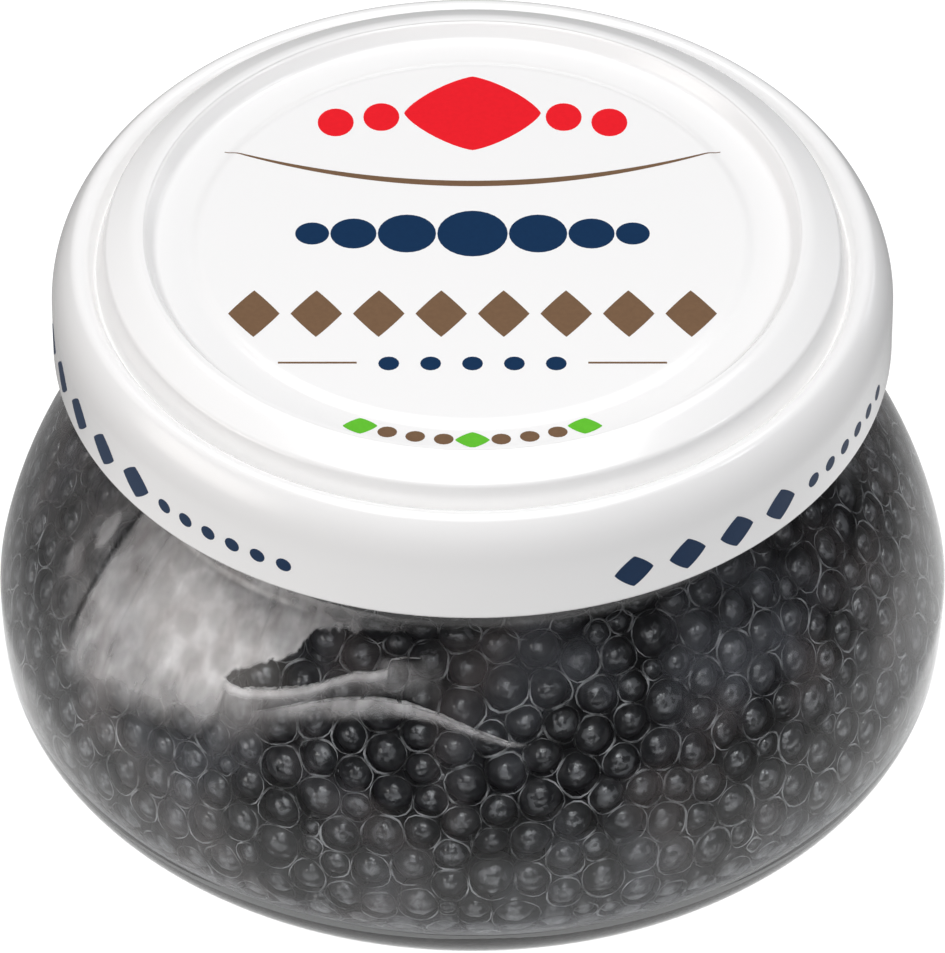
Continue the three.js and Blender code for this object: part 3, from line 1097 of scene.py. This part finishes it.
# %% Print on the top
disc_row, dot_row, lozenge_row = 0.7, -15.6, -9.4
navy_shapes = []
disc_x = -14.6
for size in (2.8, 3.8, 4.8, 5.8, 4.8, 3.8, 2.8):
    disc_x += size / 2
    navy_shapes.append(ink_spot(oval(size, size), (disc_x, disc_row), on_top))
    disc_x += size / 2 + 0.1
for k in range(5):
    navy_shapes.append(ink_spot(oval(1.7, 1.7, 16), ((k - 2) * 3.4, dot_row), on_top))
brown_shapes = []
for k in range(8):
    brown_shapes.append(ink_spot(oval(4.2, 5.8, 32, 1.9), (-17.85 + k * 5.1, lozenge_row), on_top))
green_shapes = []
arc_radius, arc_step, arc_marks = 24.65, 5.4, 9
for k in range(arc_marks):
    turn = math.radians(k * arc_step - (arc_marks - 1) / 2 * arc_step)
    middle = (arc_radius * math.sin(turn), -arc_radius * math.cos(turn))
    if k % 4 == 0:
        green_shapes.append(ink_spot(oval(2.8, 1.9, 24, 1.6), middle, on_top))
    else:
        brown_shapes.append(ink_spot(oval(1.6, 1.3, 16), middle, on_top))
red_shapes = [ink_spot(oval(11.4, 9.6, 44, 1.5), (0, 16.2), on_top)]
for x, y in ((-11.4, 15.0), (-7.6, 15.7), (7.6, 15.7), (11.4, 15.0)):
    red_shapes.append(ink_spot(oval(3.0, 3.6), (x, y), on_top))
print("marks on the top:", len(navy_shapes + brown_shapes + green_shapes + red_shapes))

# %% Bow and rules
def ink_line(x, y, width):
    """Points and faces of a line of ink on the lid, along a path."""
    path = np.stack([x, y], axis=1)
    step = np.gradient(path, axis=0)
    side = np.stack([-step[:, 1], step[:, 0]], axis=1) / np.linalg.norm(step, axis=1)[:, None]
    half = side * width[:, None] / 2
    count = len(path)
    faces = [(k, count + k, count + k + 1, k + 1) for k in range(count - 1)]
    return ink_sheet([*(path + half), *(path - half)], faces, on_top)


bow_reach, bow_middle, bow_rise = 20.6, 7.1, 4.4
rule_row, rule_width = -15.5, 0.22
bow_x = np.linspace(-bow_reach, bow_reach, 120)
bow_y = bow_middle + bow_rise * (np.abs(bow_x) / bow_reach) ** 2.0
line_shapes = [ink_line(bow_x, bow_y, 0.06 + 0.64 * (1 - (np.abs(bow_x) / 20.8) ** 2))]
for start, end in ((-15.8, -9.4), (9.4, 15.8)):
    rule_x = np.linspace(start, end, 14)
    line_shapes.append(ink_line(rule_x, np.full(14, rule_row), np.full(14, rule_width)))
lines = printed("print_brown_lines", line_shapes, brown)

# %% Print on the skirt
for turn in (-84, -76, -68, -60, -52, 22, 30, 38, 46):
    navy_shapes.append(ink_spot(oval(5.6, 3.2, 28, 1.7), (turn, 38.4), on_skirt))
for turn in (-46, -42, -38, -34, -30, -26, 53, 57, 61, 65, 69, 73):
    navy_shapes.append(ink_spot(oval(2.3, 1.3, 16), (turn, 38.2), on_skirt))
navy_print = printed("print_navy", navy_shapes, navy)
brown_print = printed("print_brown", brown_shapes, brown)
red_print = printed("print_red", red_shapes, red)
green_print = printed("print_green", green_shapes, green)
prints = (lines, navy_print, brown_print, red_print, green_print)

# %% [markdown]
# ## Floor and light
# The jar stands on a white table. The table's own colour is dark grey, and it glows by emission,
# which is a painted glow. The camera sees it plain white, but in the glass it mirrors a painted pool
# of light round the jar, painted shade under the jar and towards the back, and dark further away,
# so that the heel shines and the middle of the glass stays black, as in a studio with dark walls.
# A broad lamp overhead lights the lid. Lamps with soft edges on the left and on the right show as
# pale patches on the beads, and a lamp in front, which shows in no reflection, lights the skirt of
# the lid.

# %% Floor
# It lies a hair under the foot, so that glass and floor aren't in one plane.
floor_rings = [40, 60, 80, 100, 120, 140, 170, 200, 260, 400, 800, 3000]
floor_gap = 0.01
floor_profile = [(radius, -floor_gap) for radius in (*floor_rings[::-1], 0)]
floor_finish, tree, shader = new_finish("floor_with_painted_glow", {
    "Base Color": (0.12, 0.12, 0.12, 1),
    "Roughness": 0.7,
    "Emission Color": (1, 1, 1, 1),
})
place, x, y, z = object_place(tree)
away = add_node(tree, "ShaderNodeVectorMath", {0: place}, operation="LENGTH").outputs["Value"]
quarter_metres = math_node(tree, "MULTIPLY", away, 4)
# Painted glow: bright in a ring round the jar, dim under it as painted shade, and dimmer far away.
glow = shades(tree, quarter_metres, (
    (0.0, 0.12), (0.12, 0.12), (0.15, 1.1), (0.3, 1.0), (0.42, 0.45), (0.6, 0.22), (0.9, 0.14),
))
# Painted shade: the glow is dimmer towards the back, a little more so on the left.
back_left = math_node(tree, "MULTIPLY_ADD", x, -0.2, y)
mirrored = math_node(tree, "MULTIPLY", glow, spread(tree, back_left, -0.01, 0.04, 1.0, 0.22))
camera_ray = add_node(tree, "ShaderNodeLightPath").outputs["Is Camera Ray"]
fill_in(shader, {"Emission Strength": math_node(tree, "MAXIMUM", mirrored, camera_ray)})
floor = add_piece("floor", turned("floor", floor_profile, 64), floor_finish)

# %% Lamps
def soften(data, edge):
    """Lets the brightness of a lamp fall off towards its edges."""
    data.use_nodes = True
    tree = data.node_tree
    surface = add_node(tree, "ShaderNodeNewGeometry")
    sides = add_node(tree, "ShaderNodeSeparateXYZ", {"Vector": surface.outputs["Parametric"]})
    shares = []
    for axis in ("X", "Y"):
        from_middle = math_node(tree, "ABSOLUTE", math_node(tree, "SUBTRACT", sides.outputs[axis], 0.5))
        shares.append(spread(tree, from_middle, 0.5 - edge, 0.5, 1, 0))
    fill_in(tree.nodes["Emission"], {"Strength": math_node(tree, "MULTIPLY", *shares)})


def softbox(name, place, aim, width, height, radiance, colour=(1, 1, 1), edge=0.0):
    """A rectangular lamp of a given brightness, aimed at a point, with edges that may be soft."""
    data = bpy.data.lights.new(name, "AREA")
    data.shape = "RECTANGLE"
    data.size = width
    data.size_y = height
    data.energy = radiance * math.pi * width * height
    data.color = colour
    if edge:
        soften(data, edge)
    lamp = bpy.data.objects.new(name, data)
    lamp.location = place
    direction = Vector(aim) - Vector(place)
    lamp.rotation_euler = direction.to_track_quat("-Z", "Y").to_euler()
    bpy.context.scene.collection.objects.link(lamp)
    return lamp


jar_middle = (0, 0, 0.03)


def placed(turn, elevation, distance=0.7):
    """A place seen from the jar at a turn from the front and an elevation, in degrees."""
    side, up = math.radians(turn - 90), math.radians(elevation)
    flat = distance * math.cos(up)
    return (flat * math.cos(side), flat * math.sin(side), jar_middle[2] + distance * math.sin(up))


warm_light, cool_light = (1, 0.95, 0.91), (0.95, 0.97, 1)
softbox("lamp_overhead", (0, 0, 1.05), (0, 0, 0), 1.0, 1.4, 3.0, edge=0.06)
softbox("lamp_left", placed(-70, 14), jar_middle, 0.72, 0.42, 2.5, warm_light, edge=0.35)
softbox("lamp_right", placed(80, 42), jar_middle, 0.16, 0.16, 6.0, cool_light, edge=0.3)
softbox("lamp_right_low", placed(128, 8), jar_middle, 0.3, 0.3, 1.5, cool_light, edge=0.4)
fill = softbox("lamp_fill", placed(0, 34, 1.0), jar_middle, 0.9, 0.7, 1.3)
fill.visible_glossy = False

world = bpy.data.worlds.new("world")
world.use_nodes = True
fill_in(world.node_tree.nodes["Background"], {"Color": (0.13, 0.13, 0.14, 1)})
bpy.context.scene.world = world
bpy.context.scene.view_settings.view_transform = "Standard"
print("lamps:", sorted(lamp.name for lamp in bpy.data.lights))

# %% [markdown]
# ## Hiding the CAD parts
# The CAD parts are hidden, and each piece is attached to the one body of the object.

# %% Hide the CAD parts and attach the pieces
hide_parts("jar")
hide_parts("caviar")
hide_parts("lid")
for piece, slot in (
    (glass, "glass"), (beads, "roe"), (beads_behind, "roe"), (core, "roe"), (outlines, "roe"),
    (jelly, "roe"), (film, "roe"), (edges, "roe"), (lid, "enamel"),
    *((piece, "enamel") for piece in prints),
):
    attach(piece, "root")
